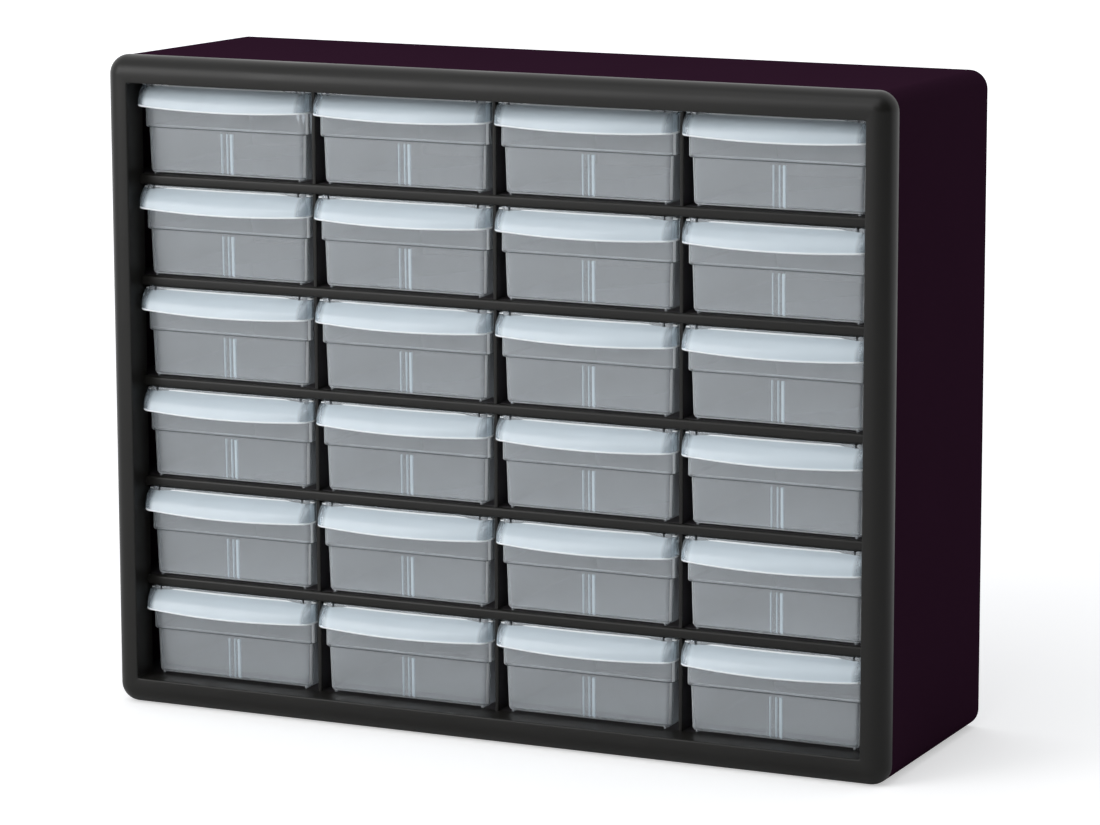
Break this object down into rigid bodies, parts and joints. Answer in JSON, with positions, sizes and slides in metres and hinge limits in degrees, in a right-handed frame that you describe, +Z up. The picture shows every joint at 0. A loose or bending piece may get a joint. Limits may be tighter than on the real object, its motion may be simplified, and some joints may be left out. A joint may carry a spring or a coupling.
{
  "type": "parts bin cabinet",
  "caption": "Small-parts cabinet: a moulded front frame with a grid of cells holds translucent sliding drawers with hooded pulls, in a closed case for a bench or a wall.",
  "frame": {"origin": "middle of the footprint, on the surface that the cabinet stands on", "axes": "+X across the front, to the right of someone who faces it; +Y from the front to the back; +Z up"},
  "size_m": [0.508, 0.1618, 0.4016],
  "materials": {
    "frame_plastic": "fine satin moulded",
    "case_plastic": "satin moulded",
    "inner_plastic": "plain moulded",
    "drawer_plastic": "translucent moulded"
  },
  "bodies": {
    "cabinet": {"front_frame": "frame_plastic", "case_shell": "case_plastic", "back_panel": "case_plastic", "shelf_1": "inner_plastic", "shelf_2": "inner_plastic", "shelf_3": "inner_plastic", "shelf_4": "inner_plastic", "shelf_5": "inner_plastic", "shelf_6": "inner_plastic", "partition_1": "inner_plastic", "partition_2": "inner_plastic", "partition_3": "inner_plastic"},
    "drawer_r1_c1_body": {"drawer_r1_c1": "drawer_plastic"},
    "drawer_r1_c2_body": {"drawer_r1_c2": "drawer_plastic"},
    "drawer_r1_c3_body": {"drawer_r1_c3": "drawer_plastic"},
    "drawer_r1_c4_body": {"drawer_r1_c4": "drawer_plastic"},
    "drawer_r2_c1_body": {"drawer_r2_c1": "drawer_plastic"},
    "drawer_r2_c2_body": {"drawer_r2_c2": "drawer_plastic"},
    "drawer_r2_c3_body": {"drawer_r2_c3": "drawer_plastic"},
    "drawer_r2_c4_body": {"drawer_r2_c4": "drawer_plastic"},
    "drawer_r3_c1_body": {"drawer_r3_c1": "drawer_plastic"},
    "drawer_r3_c2_body": {"drawer_r3_c2": "drawer_plastic"},
    "drawer_r3_c3_body": {"drawer_r3_c3": "drawer_plastic"},
    "drawer_r3_c4_body": {"drawer_r3_c4": "drawer_plastic"},
    "drawer_r4_c1_body": {"drawer_r4_c1": "drawer_plastic"},
    "drawer_r4_c2_body": {"drawer_r4_c2": "drawer_plastic"},
    "drawer_r4_c3_body": {"drawer_r4_c3": "drawer_plastic"},
    "drawer_r4_c4_body": {"drawer_r4_c4": "drawer_plastic"},
    "drawer_r5_c1_body": {"drawer_r5_c1": "drawer_plastic"},
    "drawer_r5_c2_body": {"drawer_r5_c2": "drawer_plastic"},
    "drawer_r5_c3_body": {"drawer_r5_c3": "drawer_plastic"},
    "drawer_r5_c4_body": {"drawer_r5_c4": "drawer_plastic"},
    "drawer_r6_c1_body": {"drawer_r6_c1": "drawer_plastic"},
    "drawer_r6_c2_body": {"drawer_r6_c2": "drawer_plastic"},
    "drawer_r6_c3_body": {"drawer_r6_c3": "drawer_plastic"},
    "drawer_r6_c4_body": {"drawer_r6_c4": "drawer_plastic"}
  },
  "joints": [
    {"name": "slide_r1_c1", "type": "slide", "parent": "cabinet", "child": "drawer_r1_c1_body", "axis": [0, -1, 0], "range_m": [0, 0.129]},
    {"name": "slide_r1_c2", "type": "slide", "parent": "cabinet", "child": "drawer_r1_c2_body", "axis": [0, -1, 0], "range_m": [0, 0.129]},
    {"name": "slide_r1_c3", "type": "slide", "parent": "cabinet", "child": "drawer_r1_c3_body", "axis": [0, -1, 0], "range_m": [0, 0.129]},
    {"name": "slide_r1_c4", "type": "slide", "parent": "cabinet", "child": "drawer_r1_c4_body", "axis": [0, -1, 0], "range_m": [0, 0.129]},
    {"name": "slide_r2_c1", "type": "slide", "parent": "cabinet", "child": "drawer_r2_c1_body", "axis": [0, -1, 0], "range_m": [0, 0.129]},
    {"name": "slide_r2_c2", "type": "slide", "parent": "cabinet", "child": "drawer_r2_c2_body", "axis": [0, -1, 0], "range_m": [0, 0.129]},
    {"name": "slide_r2_c3", "type": "slide", "parent": "cabinet", "child": "drawer_r2_c3_body", "axis": [0, -1, 0], "range_m": [0, 0.129]},
    {"name": "slide_r2_c4", "type": "slide", "parent": "cabinet", "child": "drawer_r2_c4_body", "axis": [0, -1, 0], "range_m": [0, 0.129]},
    {"name": "slide_r3_c1", "type": "slide", "parent": "cabinet", "child": "drawer_r3_c1_body", "axis": [0, -1, 0], "range_m": [0, 0.129]},
    {"name": "slide_r3_c2", "type": "slide", "parent": "cabinet", "child": "drawer_r3_c2_body", "axis": [0, -1, 0], "range_m": [0, 0.129]},
    {"name": "slide_r3_c3", "type": "slide", "parent": "cabinet", "child": "drawer_r3_c3_body", "axis": [0, -1, 0], "range_m": [0, 0.129]},
    {"name": "slide_r3_c4", "type": "slide", "parent": "cabinet", "child": "drawer_r3_c4_body", "axis": [0, -1, 0], "range_m": [0, 0.129]},
    {"name": "slide_r4_c1", "type": "slide", "parent": "cabinet", "child": "drawer_r4_c1_body", "axis": [0, -1, 0], "range_m": [0, 0.129]},
    {"name": "slide_r4_c2", "type": "slide", "parent": "cabinet", "child": "drawer_r4_c2_body", "axis": [0, -1, 0], "range_m": [0, 0.129]},
    {"name": "slide_r4_c3", "type": "slide", "parent": "cabinet", "child": "drawer_r4_c3_body", "axis": [0, -1, 0], "range_m": [0, 0.129]},
    {"name": "slide_r4_c4", "type": "slide", "parent": "cabinet", "child": "drawer_r4_c4_body", "axis": [0, -1, 0], "range_m": [0, 0.129]},
    {"name": "slide_r5_c1", "type": "slide", "parent": "cabinet", "child": "drawer_r5_c1_body", "axis": [0, -1, 0], "range_m": [0, 0.129]},
    {"name": "slide_r5_c2", "type": "slide", "parent": "cabinet", "child": "drawer_r5_c2_body", "axis": [0, -1, 0], "range_m": [0, 0.129]},
    {"name": "slide_r5_c3", "type": "slide", "parent": "cabinet", "child": "drawer_r5_c3_body", "axis": [0, -1, 0], "range_m": [0, 0.129]},
    {"name": "slide_r5_c4", "type": "slide", "parent": "cabinet", "child": "drawer_r5_c4_body", "axis": [0, -1, 0], "range_m": [0, 0.129]},
    {"name": "slide_r6_c1", "type": "slide", "parent": "cabinet", "child": "drawer_r6_c1_body", "axis": [0, -1, 0], "range_m": [0, 0.129]},
    {"name": "slide_r6_c2", "type": "slide", "parent": "cabinet", "child": "drawer_r6_c2_body", "axis": [0, -1, 0], "range_m": [0, 0.129]},
    {"name": "slide_r6_c3", "type": "slide", "parent": "cabinet", "child": "drawer_r6_c3_body", "axis": [0, -1, 0], "range_m": [0, 0.129]},
    {"name": "slide_r6_c4", "type": "slide", "parent": "cabinet", "child": "drawer_r6_c4_body", "axis": [0, -1, 0], "range_m": [0, 0.129]}
  ]
}
